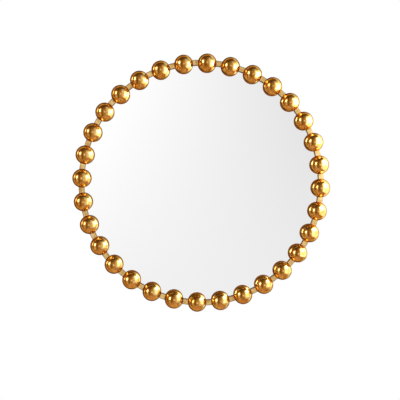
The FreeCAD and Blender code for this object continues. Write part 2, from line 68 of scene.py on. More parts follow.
MM = 0.001
FULL_TURN = 2 * math.pi
SMOOTH_BELOW = math.radians(35)  # a sharper edge than this stays crisp
WELD_DISTANCE = 0.001 * MM
HOLD = 0.5 * MM  # from a rounded edge to the point that keeps the flat beside it flat
SLOT_WALL = 0.15 * MM  # how far a driver slot's wall leans
CROSS_WALL = 0.25 * MM  # how far a driver cross's wall leans
ROUND_COLUMNS = 720  # points round the bar, plate, hoop and board
SMALL_COLUMNS = 96  # points round a ball, bumper or screw


def centre_of(node):
    """The middle of a CAD node's box as (x, y, z)."""
    low, high = (np.array(corner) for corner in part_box(node))
    return (low + high) / 2


FIRST_BALL = centre_of(BALL_NODES[0])
BALL_LOW, BALL_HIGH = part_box(BALL_NODES[0])
FIRST_ANGLE = math.atan2(FIRST_BALL[2], FIRST_BALL[0])
PITCH = FULL_TURN / len(BALL_NODES)
LINK_ANGLE = FIRST_ANGLE + PITCH / 2  # the link that holds the bar's joint

BAR_LOW, BAR_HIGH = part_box("ring_bar")
GLASS_LOW, GLASS_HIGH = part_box("mirror_glass")
BOARD_LOW, BOARD_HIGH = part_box("back_board")
HOOP_LOW, HOOP_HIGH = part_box("rebate_band")
STRAP_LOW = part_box("hanger_strap_right")[0]
HANGER_X = float(centre_of("hanger_strap_right")[0])


# Sizes and colours ----------------------------------------

def length(name, description, millimetres):
    """A length that the sidebar shows in the scene's units."""
    return bpy.props.FloatProperty(
        name=name, description=description, default=millimetres * MM, min=0, unit="LENGTH")


def colour(name, description, default):
    """A linear colour."""
    return bpy.props.FloatVectorProperty(
        name=name, description=description, default=default, min=0, max=1, subtype="COLOR")


def amount(name, description, default, **more):
    """A plain number or, with a subtype, an angle."""
    return bpy.props.FloatProperty(
        name=name, description=description, default=default, min=0, **more)


class RingSizes(bpy.types.PropertyGroup):
    """The balls and the flat bar that joins them."""

    ball_diameter: length("Ball diameter", "Across one turned ball",
                          (BALL_HIGH.x - BALL_LOW.x) / MM)
    ball_circle: length("Ball circle", "Radius of the circle of ball centres",
                        math.hypot(FIRST_BALL[0], FIRST_BALL[2]) / MM)
    ball_depth: length("Ball depth", "From the wall to the balls' centres", 37.5)
    slot_clearance: length("Slot clearance", "Each side of the bar in a ball", 0.25)
    glass_relief: length("Glass relief", "Between the glass and a ball", 0.4)
    bar_width: length("Bar width", "Across the bar's face", 20)
    bar_edge: length("Bar edge", "Radius of the bar's front edges", 1.5)
    joint_gap: length("Joint gap", "Between the bar's two ends", 0.4)
    screw_diameter: length("Joint screw", "Across the grub screw in the joint", 4)
    screw_offset: length("Joint screw offset", "From the gap to the screw", 3)
    screw_sink: length("Joint screw sink", "Below the bar's face", 0.3)
    screw_slot: length("Joint screw slot", "Across the driver slot", 0.9)
    slot_depth: length("Joint slot depth", "Depth of the driver slot", 0.8)
    screw_room: length("Joint screw room", "Round the screw in its hole", 0.05)


class BackSizes(bpy.types.PropertyGroup):
    """What holds the plate in, and what holds the mirror off the wall."""

    glass_arris: length("Glass arris", "Sharp edge taken off the glass", 0.5)
    hoop_thickness: length("Hoop thickness", "Wall of the hoop round the glass", 2)
    board_edge: length("Board edge", "Bevel on the board's back edge", 0.8)
    lug_width: length("Lug width", "Along the hoop", 20)
    lug_reach: length("Lug reach", "From the hoop's outside inwards", 27)
    lug_corner: length("Lug corner", "Radius of a lug's inner corners", 4)
    lug_screw_inset: length("Lug screw inset", "From the hoop's outside", 17)
    screw_head: length("Screw head", "Across a pan head", 7)
    screw_height: length("Screw height", "Height of a pan head", 2.4)
    screw_shank: length("Screw shank", "Across a screw's shank", 3.5)
    screw_bite: length("Screw bite", "Depth of a screw in the board", 7)
    recess_reach: length("Recess reach", "Half length of the driver cross", 2)
    recess_width: length("Recess width", "Width of the cross's arms", 0.9)
    recess_depth: length("Recess depth", "Depth of the driver cross", 1.2)
    bumper_base: length("Bumper base", "Across a bumper at the board", 25)
    bumper_face: length("Bumper face", "Across a bumper at the wall", 22)
    bumper_recess: length("Bumper recess", "Across the well for the screw", 9.5)
    bumper_seat: length("Bumper seat", "Rubber under the screw's head", 4.5)


class HangerSizes(bpy.types.PropertyGroup):
    """The two strap hangers and their D rings."""

    strap_width: length("Strap width", "Across the strap", 18)
    strap_thickness: length("Strap thickness", "Sheet that the strap is cut from", 1.5)
    strap_corner: length("Strap corner", "Radius of the lower corners", 7)
    upper_screw: length("Upper screw", "Below the ring's axis", 33)
    lower_screw: length("Lower screw", "Below the ring's axis", 49)
    axis_height: length("Axis height", "Of the rings, above the mirror's axis", 190)
    axis_depth: length("Axis depth", "Of the rings, from the wall", 6.62)
    bore: length("Knuckle bore", "Radius inside the strap's curl", 2.08)
    wire: length("Wire", "Across the ring's wire", 4)
    half_width: length("Half width", "Of the ring, to the middle of its wire", 14)
    ring_corner: length("Ring corner", "Radius where the ring leaves the curl", 4)
    leg: length("Leg", "From the axis down to the start of the bow", 8)


class Finishes(bpy.types.PropertyGroup):
    """Colours of the mirror's finishes."""

    leaf_pale: colour("Pale leaf", "Thick, well laid gold leaf", (0.93, 0.65, 0.25))
    leaf_deep: colour("Deep leaf", "Thin leaf over red clay", (0.66, 0.32, 0.06))
    bar_pale: colour("Pale bar gold", "Leaf on the bar, worn bright", (0.92, 0.70, 0.32))
    bar_deep: colour("Deep bar gold", "Leaf on the bar, where it is dull", (0.62, 0.40, 0.13))
    # Colour of the painted shade on the bar's border, sides and sunk parts
    clay: colour("Clay", "Dark ground where the bar has no leaf", (0.12, 0.05, 0.02))
    silver: colour("Silver", "The plate's silvering", (0.94, 0.94, 0.94))
    glass_edge: colour("Glass edge", "The plate's ground edge", (0.42, 0.56, 0.50))
    fibre: colour("Fibre board", "Bare brown fibre board", (0.42, 0.27, 0.15))
    bronze: colour("Bronze paint", "Paint on the hoop and lugs", (0.17, 0.11, 0.06))
    zinc: colour("Zinc", "Plated screws and hangers", (0.68, 0.69, 0.71))
    rubber: colour("Rubber", "Bumpers", (0.03, 0.03, 0.03))
    foam: colour("Foam", "Sheet behind the plate", (0.88, 0.88, 0.86))


class StageSettings(bpy.types.PropertyGroup):
    """Camera, room and floor."""

    distance: length("Camera distance", "From the wall to the camera", 3000)
    camera_left: length("Camera left", "Of the mirror's axis", 157)
    camera_up: length("Camera up", "Above the mirror's axis", 40)
    focal_ratio: amount("Focal ratio", "Focal length over the picture's width", 2.095)
    pan: amount("Pan", "Turn of the camera to the right", math.radians(2.884), subtype="ANGLE")
    dip: amount("Dip", "Downward tilt of the camera", math.radians(1.921), subtype="ANGLE")
    window_light: amount("Window light", "Brightness of the nearer window", 6.5)
    panel_light: amount("Panel light", "Brightness of the wide and side lamps", 1.2)
    core_light: amount("Core light", "Added brightness of the wide lamp's middle", 7.0)
    floor_drop: length("Floor drop", "From the mirror's axis down to the floor", 1350)
    floor_radius: length("Floor radius", "Of the round floor", 1100)
    floor: colour("Floor", "Pale floor", (0.74, 0.54, 0.35))


# Surfaces -------------------------------------------------

class Sheet(NamedTuple):
    """A grid of points, rows by columns by xyz, that becomes four-sided faces."""

    grid: np.ndarray
    closed_rows: bool = False
    closed_columns: bool = False
    keep: np.ndarray | None = None  # cells that get a face


def tube(grid, closed_rows=False):
    """The one sheet of a piece whose columns close on themselves."""
    return [Sheet(grid, closed_rows, closed_columns=True)]


def unit(vectors):
    """Vectors over their own lengths."""
    return vectors / np.linalg.norm(vectors, axis=-1, keepdims=True)


def rounded(corners, radii, steps, hold=0.0):
    """A closed outline whose corners are arcs, and the unit vectors out from their centres.

    At a corner P, with unit vectors a and b along the two edges that leave it and the angle
    A between them, the arc's centre is P + m r / sin(A/2), where m halves the angle. Its
    directions turn evenly from a cot(A/2) - m / sin(A/2) to b cot(A/2) - m / sin(A/2).
    One more point lies a distance hold along each edge, which keeps flat sides flat.
    """
    corners = np.asarray(corners, float)
    radii = np.broadcast_to(np.asarray(radii, float), len(corners))[:, None]
    before = unit(np.roll(corners, 1, axis=0) - corners)
    after = unit(np.roll(corners, -1, axis=0) - corners)
    half = np.arccos(np.sum(before * after, axis=1, keepdims=True)) / 2
    middle = unit(before + after) / np.sin(half)
    first, last = before / np.tan(half) - middle, after / np.tan(half) - middle
    turn = (math.pi - 2 * half)[:, None, :]
    share = np.linspace(0, 1, steps)[None, :, None]
    outward = (np.sin((1 - share) * turn) * first[:, None, :]
               + np.sin(share * turn) * last[:, None, :]) / np.sin(turn)
    points = (corners + middle * radii)[:, None, :] + outward * radii[:, None, :]
    if hold:
        points = np.concatenate([
            points[:, :1] + before[:, None] * hold, points,
            points[:, -1:] + after[:, None] * hold], axis=1)
        outward = np.concatenate([outward[:, :1], outward, outward[:, -1:]], axis=1)
    return points.reshape(-1, 2), outward.reshape(-1, 2)


def about_axis(points, angle):
    """Points turned about the mirror's axis: x' = x cos t - z sin t, z' = x sin t + z cos t."""
    x, y, z = np.moveaxis(np.asarray(points, float), -1, 0)
    cos, sin = np.cos(angle), np.sin(angle)
    return np.stack(np.broadcast_arrays(x * cos - z * sin, y, x * sin + z * cos), axis=-1)


def turned(profile, centre=(0, 0), columns=SMALL_COLUMNS):
    """A profile of (radius, y) pairs turned round a line along Y through (x, z) = centre.

    Point (i, k) is (x + r_i cos t_k, y_i, z + r_i sin t_k), with t_k even round the circle.
    """
    radius, depth = np.asarray(profile, float).T[:, :, None]
    angle = np.linspace(0, FULL_TURN, columns, endpoint=False)
    x, z = centre[0] + radius * np.cos(angle), centre[1] + radius * np.sin(angle)
    return np.stack(np.broadcast_arrays(x, depth, z), axis=-1)


def disc_profile(radius, front, back, front_edge, back_edge, steps=4):
    """Half section of a disc from the middle of its front to the middle of its back."""
    reach = radius / 2  # the outline closes inside the disc, where it is cut open again
    corners = [(reach, front), (radius, front), (radius, back), (reach, back)]
    outline, _ = rounded(corners, (0, front_edge, back_edge, 0), steps, hold=HOLD)
    edge = outline[steps + 2:3 * (steps + 2)]
    return np.concatenate([[(0, front)], edge, [(0, back)]])


def slab(outline, outward, low, high, edge, steps=4):
    """A flat plate with softened edges, its faces at y = low and y = high.

    Row by row the outline steps in by e (1 - sin a) and towards a face by e (1 - cos a),
    with a from 0 at the face to 90 degrees at the rim, and ends in the middle of each face.
    The outline's points and outward vectors are (x, z) pairs.
    """
    lean = np.linspace(0, math.pi / 2, steps)
    inset = np.concatenate([[edge + HOLD], edge * (1 - np.sin(lean))])
    inset = np.concatenate([inset, inset[::-1]])
    drop = np.concatenate([[0], edge * (1 - np.cos(lean))])
    depth = np.concatenate([low + drop, (high - drop)[::-1]])
    rim = outline[None] - outward[None] * inset[:, None, None]
    level = np.broadcast_to(depth[:, None, None], (*rim.shape[:2], 1))
    rim = np.concatenate([rim[..., :1], level, rim[..., 1:]], axis=-1)
    middle = outline.mean(axis=0)
    caps = [np.broadcast_to((middle[0], face, middle[1]), (1, len(outline), 3))
            for face in (low, high)]
    return np.concatenate([caps[0], rim, caps[1]])


def faces_of(sheet, first):
    """Four-sided faces between a sheet's neighbouring points, which are numbered from first."""
    rows, columns = sheet.grid.shape[:2]
    index = first + np.arange(rows * columns).reshape(rows, columns)
    if sheet.closed_rows:
        index = np.concatenate([index, index[:1]])
    if sheet.closed_columns:
        index = np.concatenate([index, index[:, :1]], axis=1)
    quads = np.stack(
        [index[:-1, :-1], index[1:, :-1], index[1:, 1:], index[:-1, 1:]], axis=-1)
    if sheet.keep is not None:
        return quads[sheet.keep]
    return quads.reshape(-1, 4)


def skin(name, sheets):
    """One mesh of several sheets; points that coincide are merged, and faces turn outwards."""
    counts = [sheet.grid.shape[0] * sheet.grid.shape[1] for sheet in sheets]
    firsts = np.cumsum([0] + counts[:-1])
    points = np.concatenate([sheet.grid.reshape(-1, 3) for sheet in sheets])
    faces = np.concatenate([faces_of(sheet, first) for sheet, first in zip(sheets, firsts)])
    mesh = bpy.data.meshes.new(name)
    mesh.from_pydata(points.tolist(), [], faces.tolist())
    work = bmesh.new()
    work.from_mesh(mesh)
    bmesh.ops.remove_doubles(work, verts=work.verts, dist=WELD_DISTANCE)
    bmesh.ops.recalc_face_normals(work, faces=work.faces)
    work.to_mesh(mesh)
    work.free()
    mesh.shade_smooth()
    mesh.set_sharp_from_angle(angle=SMOOTH_BELOW)
    return mesh


def add_piece(name, sheets, material, node, body="mirror"):
    """A finished piece that rides on a body and stands for a CAD node."""
    mesh = skin(name, sheets)
    mesh.materials.append(material)
    piece = bpy.data.objects.new(name, mesh)
    bpy.context.scene.collection.objects.link(piece)
    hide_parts(node)
    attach(piece, body)


def refinish(node, material):
    """A CAD node keeps its shape and gets a better material."""
    for slot in NODES[node].material_slots:
        slot.material = material


# The pieces' own shapes -----------------------------------

def ball_surface(ring, rows=SMALL_COLUMNS, columns=SMALL_COLUMNS):
    """A ball at angle 0, slotted over the bar and cut away behind for the glass.

    It is cut into slices across the ring. The slice at t = R sin b is a circle of radius
    q = R cos b in radial and backward distances (a, d) from the ball's centre, less the
    cut: d > floor between the slot's walls and d > shelf inside the inner wall. A wall
    stands at a = sqrt(W^2 - t^2) - C, with W its radius about the mirror's axis and C the
    balls' circle. Where the circle falls short of a wall, the wall shrinks to a point.
    """
    radius, circle = ring.ball_diameter / 2, ring.ball_circle
    latitude = np.linspace(-math.pi / 2, math.pi / 2, rows)[:, None]
    across, reach = radius * np.sin(latitude), radius * np.cos(latitude)
    floor = BAR_LOW.y + ring.ball_depth
    shelf = GLASS_LOW.y - ring.glass_relief + ring.ball_depth
    outer_wall = BAR_HIGH.x + ring.slot_clearance
    inner_wall = BAR_HIGH.x - ring.bar_width - ring.slot_clearance

    along_floor = np.sqrt(np.maximum(reach**2 - floor**2, 0))
    outer = np.minimum(np.sqrt(outer_wall**2 - across**2) - circle, along_floor)
    inner = np.maximum(np.sqrt(inner_wall**2 - across**2) - circle, -along_floor)
    floor_depth = np.minimum(floor, reach)
    outer_depth = np.sqrt(np.maximum(reach**2 - outer**2, 0))
    inner_depth = np.minimum(shelf, np.sqrt(np.maximum(reach**2 - inner**2, 0)))
    lip = -np.sqrt(np.maximum(reach**2 - inner_depth**2, 0))

    start = np.arctan2(outer_depth, outer)
    end = np.arctan2(inner_depth, lip) - FULL_TURN
    sweep = start + (end - start) * np.linspace(0, 1, columns)
    step = np.linspace(0, 1, 4)
    radial = np.concatenate([
        outer + 0 * step, reach * np.cos(sweep), lip + (inner - lip) * step,
        inner + 0 * step, inner + (outer - inner) * step], axis=1)
    depth = np.concatenate([
        floor_depth + (outer_depth - floor_depth) * step, reach * np.sin(sweep),
        inner_depth + 0 * step, inner_depth + (floor_depth - inner_depth) * step,
        floor_depth + 0 * step], axis=1)
    return np.stack(np.broadcast_arrays(circle + radial, depth - ring.ball_depth, across), axis=-1)


def bar_sheets(ring):
    """The flat bar bent into a ring, with its joint gap and the hole for the joint screw.

    The section, a rectangle with rounded front edges, is carried round the axis from one
    side of the gap to the other and closed by end faces. A block of cells in the front face
    gives way to the hole: rows that blend from the block's edge to a circle, go down the
    hole's wall and meet at its floor.
    """
    outer, inner = BAR_HIGH.x, BAR_HIGH.x - ring.bar_width
    front, back = BAR_LOW.y, BAR_HIGH.y
    middle = (outer + inner) / 2
    steps = 7
    corners = [(inner, back), (inner, front), (outer, front), (outer, back)]
    edges = (0.2 * MM, ring.bar_edge, ring.bar_edge, 0.2 * MM)
    section, _ = rounded(corners, edges, steps, hold=HOLD)
    half_block = ring.screw_diameter / 2 + 0.5 * MM
    ribs = middle + half_block * np.array([-2.5, -1, -0.5, 0, 0.5, 1, 2.5])
    face = np.stack([ribs, np.full(len(ribs), front)], axis=1)
    half_way = 2 * (steps + 2)
    section = np.concatenate([section[:half_way], face, section[half_way:]])
    block_row = half_way + 1

    # Distances along the bar's middle from the gap's middle, back from the far end.
    near_end = np.array([2.2, 1, 0.6, 0.2, -0.2, -0.6, -1]) * half_block + ring.screw_offset
    gap = ring.joint_gap / 2
    turn_end = FULL_TURN - near_end[0] / middle - math.radians(0.5)
    even = np.linspace(gap / middle, turn_end, ROUND_COLUMNS)
    angle = np.concatenate([even, FULL_TURN - near_end / middle, [FULL_TURN - gap / middle]])

    radius, depth = section.T[:, :, None]
    body = np.stack(np.broadcast_arrays(radius, depth, 0 * angle), axis=-1)
    body = about_axis(body, LINK_ANGLE + angle)
    ends = [np.broadcast_to(body[:, end].mean(axis=0), (len(section), 1, 3)) for end in (0, -1)]
    grid = np.concatenate([ends[0], body, ends[1]], axis=1)
    block_column = len(even) + 2  # past the end face and the first of near_end
    keep = np.ones((len(section), grid.shape[1] - 1), bool)
    rows = slice(block_row, block_row + 4)
    columns = slice(block_column, block_column + 5)
    keep[rows, columns] = False

    block = grid[block_row:block_row + 5, block_column:block_column + 6]
    loop = np.concatenate([block[0, :-1], block[:-1, -1], block[-1, :0:-1], block[:0:-1, 0]])
    screw = about_axis((middle, front, -ring.screw_offset), LINK_ANGLE)
    rim = screw + unit(loop - screw) * (ring.screw_diameter / 2 + ring.screw_room)
    blend = np.linspace(0, 1, 4)[:, None, None]
    down = np.array([0, (back - front) / 2, 0])
    patch = np.concatenate([
        loop + (rim - loop) * blend, (rim + down)[None],
        np.broadcast_to(screw + down, (1, len(loop), 3))])
    return [Sheet(grid, closed_rows=True, keep=keep), Sheet(patch, closed_columns=True)]


def joint_screw_surface(ring):
    """The slotted grub screw that lies just below the bar's face, beside the joint.

    A plain cylinder on the line about the axis, whose face sinks along a straight slot.
    """
    radius, face_y = ring.screw_diameter / 2, BAR_LOW.y + ring.screw_sink
    foot_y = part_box("ring_joint_screw")[1].y
    face = np.linspace(0, radius, 12)
    profile = np.concatenate([
        np.stack([face, np.full(len(face), face_y)], axis=1), [(radius, foot_y), (0, foot_y)]])
    grid = turned(profile, columns=64)
    depth = ring.slot_depth * slot_share(grid[..., 0], ring.screw_slot)
    grid[:len(face), :, 1] += depth[:len(face)]
    middle = BAR_HIGH.x - ring.bar_width / 2
    return about_axis(grid + (middle, 0, -ring.screw_offset), LINK_ANGLE)


def slot_share(x, width):
    """How deep a slot along z is at x, from 0 on the face to 1 in the slot."""
    return np.clip(0.5 + (width / 2 - np.abs(x)) / SLOT_WALL, 0, 1)


def cross_share(x, z, reach, width):
    """How deep a driver cross is at (x, z), from 0 on the face to 1 in the cross."""
    x, z = np.abs(x), np.abs(z)
    inside = np.maximum(np.minimum(width / 2 - x, reach - z), np.minimum(width / 2 - z, reach - x))
    return np.clip(0.5 + inside / CROSS_WALL, 0, 1)


def screw_surface(back, x, z, seat):
    """A pan-head screw, driven from behind, whose head bears on y = seat.

    It is a turned profile: domed head, straight rim, shank and point. Over the head's face
    the depth of the driver cross is taken off, and the cross narrows towards its floor.
    """
    rim, height, shank = back.screw_head / 2, back.screw_height, back.screw_shank / 2
    tip = BOARD_HIGH.y - back.screw_bite
    crown, corner = 0.25 * height, 0.2 * rim  # the dome's rise and the radius round it
    dome_edge = rim - corner
    face = np.linspace(0, dome_edge, 18)
    bend = np.linspace(0, math.pi / 2, 8)[1:]
    dome = seat + height - crown * (face / dome_edge)**2
    shoulder = np.stack([dome_edge + corner * np.sin(bend),
                         seat + height - crown - corner * (1 - np.cos(bend))], axis=1)
    profile = np.concatenate([
        np.stack([face, dome], axis=1), shoulder,
        [(rim, seat), (shank, seat), (shank, tip + shank), (0, tip)]])
    grid = turned(profile, columns=SMALL_COLUMNS)
    share = cross_share(grid[:len(face), :, 0], grid[:len(face), :, 2],
                        back.recess_reach, back.recess_width)
    grid[:len(face), :, 1] -= back.recess_depth * share
    return grid + (x, 0, z)


def strap_surface(hanger, side):
    """A strap bent from sheet: flat on the board, curled round the ring at its top.

    The line goes up the middle of the sheet and then round the curl, moving off the board
    by the knuckle's lift. A rounded rectangle is carried along it, and near the lower end
    its half width is w - c + sqrt(c^2 - (c - s)^2) at a distance s from the end.
    """
    half, thick, corner = hanger.strap_width / 2, hanger.strap_thickness, hanger.strap_corner
    low = STRAP_LOW.z
    axis_y, axis_z = -hanger.axis_depth, hanger.axis_height
    curl = hanger.bore + thick / 2
    sheet_y = BOARD_HIGH.y + thick / 2
    rise = axis_z - low
    edge = corner * (1 - np.cos(np.linspace(0, math.pi / 2, 14)))
    climb = np.concatenate([edge, np.linspace(edge[-1], rise, 24)[1:]])
    lift = np.clip((climb - 0.8 * rise) / (0.2 * rise), 0, 1)
    flat_y = sheet_y + (axis_y - curl - sheet_y) * lift**2 * (3 - 2 * lift)
    around = np.linspace(0, math.radians(300), 48)[1:]
    line_y = np.concatenate([flat_y, axis_y - curl * np.cos(around)])
    line_z = np.concatenate([low + climb, axis_z + curl * np.sin(around)])
    out_y = np.concatenate([np.full(len(climb), -1.0), -np.cos(around)])
    out_z = np.concatenate([np.zeros(len(climb)), np.sin(around)])
    from_end = np.concatenate([climb, np.full(len(around), rise)])
    narrow = np.sqrt(np.maximum(corner**2 - np.maximum(corner - from_end, 0)**2, 0)) - corner
    width = (half + narrow) / half

    box = [(-half, -thick / 2), (half, -thick / 2), (half, thick / 2), (-half, thick / 2)]
    section, _ = rounded(box, 0.3 * MM, 4, hold=0.3 * MM)
    across, through = section.T
    x = side * HANGER_X + across[None] * width[:, None]
    y = line_y[:, None] + through[None] * out_y[:, None]
    z = line_z[:, None] + through[None] * out_z[:, None]
    grid = np.stack(np.broadcast_arrays(x, y, z), axis=-1)
    ends = [np.broadcast_to(grid[end].mean(axis=0), (1, len(section), 3)) for end in (0, -1)]
    return np.concatenate([ends[0], grid, ends[1]])


def ring_surface(hanger, side):
    """A D ring of round wire that hangs from the strap's curl.

    The wire's circle is carried along a closed line: straight through the curl, two small
    corners, two legs and a half-round bow. A point is line + n w cos a, at depth + w sin a,
    with n the line's outward direction and w the wire's radius.
    """
    half, drop, wire = hanger.half_width, hanger.leg + hanger.half_width, hanger.wire / 2
    corners = [(-half, 0), (half, 0), (half, -drop), (-half, -drop)]
    line, outward = rounded(corners, (hanger.ring_corner, hanger.ring_corner, half, half), 24)
    around = np.linspace(0, FULL_TURN, 32, endpoint=False)
    flat = line[:, None] + outward[:, None] * wire * np.cos(around)[None, :, None]
    depth = np.broadcast_to(wire * np.sin(around) - hanger.axis_depth, flat.shape[:2])
    return np.stack([side * HANGER_X + flat[..., 0], depth, hanger.axis_height + flat[..., 1]],
                    axis=-1)


def bumper_profile(back):
    """Half section of a rubber foot: tapered outside, with a well for its screw."""
    board, wall = BOARD_HIGH.y, 0.0
    bore, well = back.screw_shank / 2 + 0.3 * MM, back.bumper_recess / 2
    seat = board + back.bumper_seat
    corners = [(bore, board), (back.bumper_base / 2, board), (back.bumper_face / 2, wall),
               (well, wall), (well, seat), (bore, seat)]
    edges = np.array([0.2, 0.5, 1.2, 0.8, 0.3, 0.2]) * MM
    return rounded(corners, edges, 6, hold=0.2 * MM)[0]


# Shaders --------------------------------------------------

class Value:
    """A shader socket that Python arithmetic works on; every step adds a Math node."""

    def __init__(self, graph, socket):
        self.graph = graph
        self.socket = socket

    def step(self, operation, *terms):
        """The Math node of an operation on these terms."""
        return self.graph.add("ShaderNodeMath", {"operation": operation}, dict(enumerate(terms)))

    def __add__(self, other):
        return self.step("ADD", self, other)

    __radd__ = __add__

    def __sub__(self, other):
        return self.step("SUBTRACT", self, other)

    def __rsub__(self, other):
        return self.step("SUBTRACT", other, self)

    def __mul__(self, other):
        return self.step("MULTIPLY", self, other)

    __rmul__ = __mul__

    def __neg__(self):
        return self.step("MULTIPLY", self, -1.0)

    def at_least(self, other):
        return self.step("MAXIMUM", self, other)

    def at_most(self, other):
        return self.step("MINIMUM", self, other)

    def root(self):
        return self.step("SQRT", self)


class Graph:
    """The node tree of one material or world."""

    def __init__(self, owner):
        owner.use_nodes = True
        self.tree = owner.node_tree
        self.tree.nodes.clear()

    def add(self, kind, settings=None, inputs=None, output=0):
        """Add a node: its settings first, then the values or links of its sockets."""
        node = self.tree.nodes.new(kind)
        for name, setting in (settings or {}).items():
            setattr(node, name, setting)
        for key, given in (inputs or {}).items():
            if isinstance(given, Value):
                self.tree.links.new(given.socket, node.inputs[key])
            else:
                node.inputs[key].default_value = given
        return Value(self, node.outputs[output]) if node.outputs else None

    def place(self):
        """Where a point of the piece is, on its own axes."""
        return self.add("ShaderNodeTexCoord", output="Object")

    def parts(self, vector):
        """The x, y and z of a vector."""
        split = self.add("ShaderNodeSeparateXYZ", None, {"Vector": vector}).socket.node
        return [Value(self, socket) for socket in split.outputs]

    def stretch(self, vector, scale):
        """A vector with each axis scaled by its own number."""
        return self.add("ShaderNodeMapping", None, {"Vector": vector, "Scale": scale})

    def noise(self, vector, size, detail=3.0, roughness=0.55, distortion=0.0):
        """Soft cloudy values from 0 to 1, whose clouds are about size across."""
        return self.add("ShaderNodeTexNoise", None, {
            "Vector": vector, "Scale": 1 / size, "Detail": detail, "Roughness": roughness,
            "Distortion": distortion})

    def cells(self, vector, size, feature="F1", output="Distance"):
        """Distance to the middle or edge of irregular cells, about size across."""
        return self.add("ShaderNodeTexVoronoi", {"feature": feature},
                        {"Vector": vector, "Scale": 1 / size}, output)

    def ramp(self, value, low, high, start=0.0, end=1.0):
        """Start below low, end above high, and a smooth step between."""
        return self.add("ShaderNodeMapRange", {"interpolation_type": "SMOOTHSTEP"},
                        {0: value, 1: low, 2: high, 3: start, 4: end})

    def between(self, value, low, high, soft):
        """1 between low and high, 0 outside, with edges as wide as soft."""
        half = soft / 2
        return (self.ramp(value, low - half, low + half)
                * self.ramp(value, high - half, high + half, 1.0, 0.0))

    def mix(self, share, first, second):
        """From the first colour to the second."""
        return self.add("ShaderNodeMix", {"data_type": "RGBA"},
                        {0: share, 6: opaque(first), 7: opaque(second)}, output=2)

    def bump(self, height, depth, strength=1.0):
        """Surface relief of a height from 0 to 1, as deep as depth."""
        return self.add("ShaderNodeBump", None,
                        {"Strength": strength, "Distance": depth, "Height": height})

    def surface(self, **sockets):
        """Finish with one principled surface; names are its sockets, with _ for a space."""
        inputs = {name.replace("_", " "): opaque(given) for name, given in sockets.items()}
        shader = self.add("ShaderNodeBsdfPrincipled", None, inputs)
        self.add("ShaderNodeOutputMaterial", None, {"Surface": shader})


def opaque(given):
    """A colour with its alpha; anything else as it is."""
    if isinstance(given, (Value, float, int)):
        return given
    return (*tuple(given)[:3], 1.0)


def finish(paint):
    """Turn a function that paints a graph into one that gives its one material, repainted."""
    def give(settings=None):
        name = paint.__name__
        made = bpy.data.materials.get(name) or bpy.data.materials.new(name)
        graph = Graph(made)
        paint(graph, graph.place(), settings or bpy.context.scene.mirror_finishes)
        return made
    return give


@finish
def burnished_leaf(graph, place, finishes):
    """Gold leaf burnished on turned wood: patches of thick and thin leaf, fine mottling."""
    patches = graph.noise(place, 14 * MM, detail=4.0, distortion=0.6)
    mottle = graph.noise(place, 3 * MM, detail=4.0)
    laps = graph.ramp(graph.cells(place, 34 * MM, "DISTANCE_TO_EDGE"), 0.0, 0.035, 1.0, 0.0)
    thick = graph.ramp(0.65 * patches + 0.35 * mottle - 0.12 * laps, 0.33, 0.64)
    tone = graph.mix(thick, finishes.leaf_deep, finishes.leaf_pale)
    rough = 0.10 + 0.10 * (1 - thick) + 0.06 * mottle
    relief = 0.7 * patches + 0.3 * mottle
    graph.surface(
        Base_Color=tone, Metallic=1.0, Roughness=rough, Specular_Tint=(0.35, 0.18, 0.06),
        Normal=graph.bump(relief, 0.25 * MM, 0.18))


@finish
def satin_gold(graph, place, finishes):
    """Leaf rubbed to a satin on the flat bar's face, with painted shade in the clay colour round
    the face's border and on everything set back from the face.
    """
    cloud = graph.noise(place, 18 * MM, detail=5.0, distortion=0.8)
    grain = graph.noise(place, 1.6 * MM, detail=4.0)
    bright = graph.ramp(0.6 * cloud + 0.4 * grain, 0.38, 0.60)
    tone = graph.mix(bright, finishes.bar_deep, finishes.bar_pale)
    x, depth, z = graph.parts(place)
    half = bpy.context.scene.mirror_ring.bar_width / 2
    off_middle = (x * x + z * z).root() - (BAR_HIGH.x - half)
    off_middle = (off_middle * off_middle).root()
    border = graph.ramp(off_middle, half - 2.4 * MM, half - 1.4 * MM)
    below = graph.ramp(depth, BAR_LOW.y + 0.1 * MM, BAR_LOW.y + 0.4 * MM)
    # Painted shade: the face's border and all that is set back from the face, such as the bar's
    # sides and the screw's hole, are darkened towards the clay colour
    painted_shade = border.at_least(below)
    tone = graph.mix(0.8 * painted_shade, tone, finishes.clay)
    graph.surface(
        Base_Color=tone, Metallic=1.0, Roughness=0.27 - 0.07 * bright + 0.15 * painted_shade,
        Normal=graph.bump(grain, 0.10 * MM, 0.5))


@finish
def silvered_glass(graph, place, finishes):
    """Silvered plate, with its ground edge greenish and its back painted grey."""
    x, y, z = graph.parts(place)
    radius = (x * x + z * z).root()
    ground = graph.ramp(radius, GLASS_HIGH.x - 0.9 * MM, GLASS_HIGH.x - 0.5 * MM)
    painted = graph.ramp(y, GLASS_HIGH.y - 0.4 * MM, GLASS_HIGH.y - 0.2 * MM)
    tone = graph.mix(ground, finishes.silver, finishes.glass_edge)
    tone = graph.mix(painted, tone, (0.32, 0.33, 0.34))
    haze = graph.noise(place, 60 * MM, detail=4.0)
    graph.surface(
        Base_Color=tone, Metallic=1 - (ground + painted).at_most(1.0),
        Roughness=0.012 + 0.012 * haze + 0.3 * ground + 0.4 * painted)


